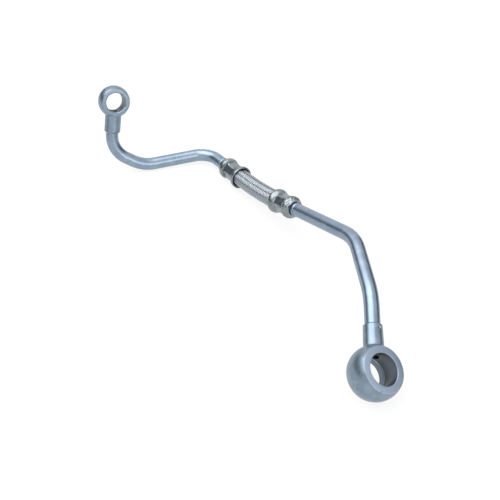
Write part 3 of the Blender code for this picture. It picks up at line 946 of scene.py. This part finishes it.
# %% Floor
FLOOR_SIZE = 6.0
FLOOR_GLOW = 0.85
FLOOR_COLOUR = (0.9, 0.9, 0.9, 1.0)
FLOOR_ROUGHNESS = 0.8
WHITE = (1.0, 1.0, 1.0, 1.0)


def stage_plane(name, size, place, aim=None):
    """Flat piece of the studio, the floor or a card that faces a point: gives it, its paint and its sums."""
    bpy.ops.object.select_all(action='DESELECT')
    turn = (0, 0, 0) if aim is None else (Vector(aim) - Vector(place)).to_track_quat('Z', 'Y').to_euler()
    bpy.ops.mesh.primitive_plane_add(size=1.0, location=place, rotation=turn)
    plane = named(name)
    plane.scale = (*size, 1.0)
    bpy.ops.object.transform_apply(location=True, rotation=True, scale=True)
    material, paint, start = node_material(name + '_paint')
    plane.data.materials.append(material)
    return plane, paint, start


floor, paint, start = stage_plane('floor', (FLOOR_SIZE, FLOOR_SIZE), (0, 0, 0))
paint.inputs['Base Color'].default_value = FLOOR_COLOUR
paint.inputs['Roughness'].default_value = FLOOR_ROUGHNESS
glow = start.node('ShaderNodeEmission', None, {'Color': WHITE, 'Strength': 1.0})
BACKGROUND_RAYS = ('Is Camera Ray', 'Is Glossy Ray', 'Is Transmission Ray')
camera_ray, glossy_ray, transmission_ray = (
    start.node('ShaderNodeLightPath', output=kind) for kind in BACKGROUND_RAYS
)
share = (camera_ray + glossy_ray + transmission_ray) * FLOOR_GLOW
look = start.node('ShaderNodeMixShader', None, {0: share, 1: Flow(start.tree, paint.outputs[0]), 2: glow})
start.tree.links.new(look.socket, start.tree.nodes['Material Output'].inputs['Surface'])
print('floor is', FLOOR_SIZE, 'm wide and shows', FLOOR_GLOW, 'of pure white')

# %% White room
world = bpy.data.worlds.new('white_room')
bpy.context.scene.world = world
world.use_nodes = True
world.node_tree.nodes['Background'].inputs['Color'].default_value = WHITE
world.node_tree.nodes['Background'].inputs['Strength'].default_value = 1.0
print(world.name, 'is as bright as white paper')

# %% Soft boxes and black cards
STUDIO_REACH = 1.3
LAMP_WATTS = 4
CARD_COLOUR = (0.06, 0.075, 0.09, 1.0)
CARD_ROUGHNESS = 0.9


def around(azimuth, elevation):
    """Place on the studio's dome: azimuth from the front towards the right, elevation from the floor."""
    azimuth, elevation = radians(azimuth), radians(elevation)
    out = Vector((cos(elevation) * sin(azimuth), -cos(elevation) * cos(azimuth), sin(elevation)))
    return out * STUDIO_REACH


def soft_box(name, azimuth, elevation, half_angle, brightness):
    """Square lamp that faces the line, as wide as an angle and as bright as a number of white papers."""
    size = 2 * STUDIO_REACH * tan(radians(half_angle))
    lamp = bpy.data.lights.new(name, 'AREA')
    lamp.shape = 'SQUARE'
    lamp.size = size
    lamp.energy = brightness * LAMP_WATTS * size ** 2
    holder = bpy.data.objects.new(name, lamp)
    bpy.context.collection.objects.link(holder)
    holder.location = around(azimuth, elevation)
    holder.rotation_euler = (-holder.location).to_track_quat('-Z', 'Y').to_euler()
    holder.visible_camera = False
    print(name, 'is', round(size, 2), 'm wide at', round(lamp.energy, 1), 'W')


def black_card(name, azimuth, elevation, half_width, half_height):
    """Dark card that faces the line."""
    size = [2 * STUDIO_REACH * tan(radians(half)) for half in (half_width, half_height)]
    card, paint, _ = stage_plane(name, size, around(azimuth, elevation), (0, 0, 0))
    paint.inputs['Base Color'].default_value = CARD_COLOUR
    paint.inputs['Roughness'].default_value = CARD_ROUGHNESS
    card.visible_camera = False
    print(name, 'is', ' x '.join(f'{side:.2f}' for side in size), 'm')


soft_box('main_box', azimuth=-88, elevation=68, half_angle=31, brightness=1.7)
soft_box('side_box', azimuth=42, elevation=24, half_angle=13, brightness=1.7)
black_card('left_card', azimuth=-100, elevation=8, half_width=47, half_height=17)
black_card('right_card', azimuth=122, elevation=16, half_width=30, half_height=15)

# %% Camera
CAMERA_PLACE = (0.022142, -0.370038, 0.295180)
CAMERA_TURN = (52.1037, -3.3636, 4.0284)
LENS_IN_PICTURE_WIDTHS = 811.24 / 500
SENSOR_WIDTH = 36.0
CLIP_START = 0.01
camera_data = bpy.data.cameras.new('camera')
camera_data.sensor_width = SENSOR_WIDTH
camera_data.lens = LENS_IN_PICTURE_WIDTHS * SENSOR_WIDTH
camera_data.clip_start = CLIP_START
camera = bpy.data.objects.new('camera', camera_data)
bpy.context.collection.objects.link(camera)
camera.location = CAMERA_PLACE
camera.rotation_euler = [radians(turn) for turn in CAMERA_TURN]
bpy.context.scene.camera = camera
bpy.context.scene.view_settings.view_transform = 'Standard'
print('camera looks through a lens of', round(camera_data.lens, 1), 'mm')

# %% [markdown]
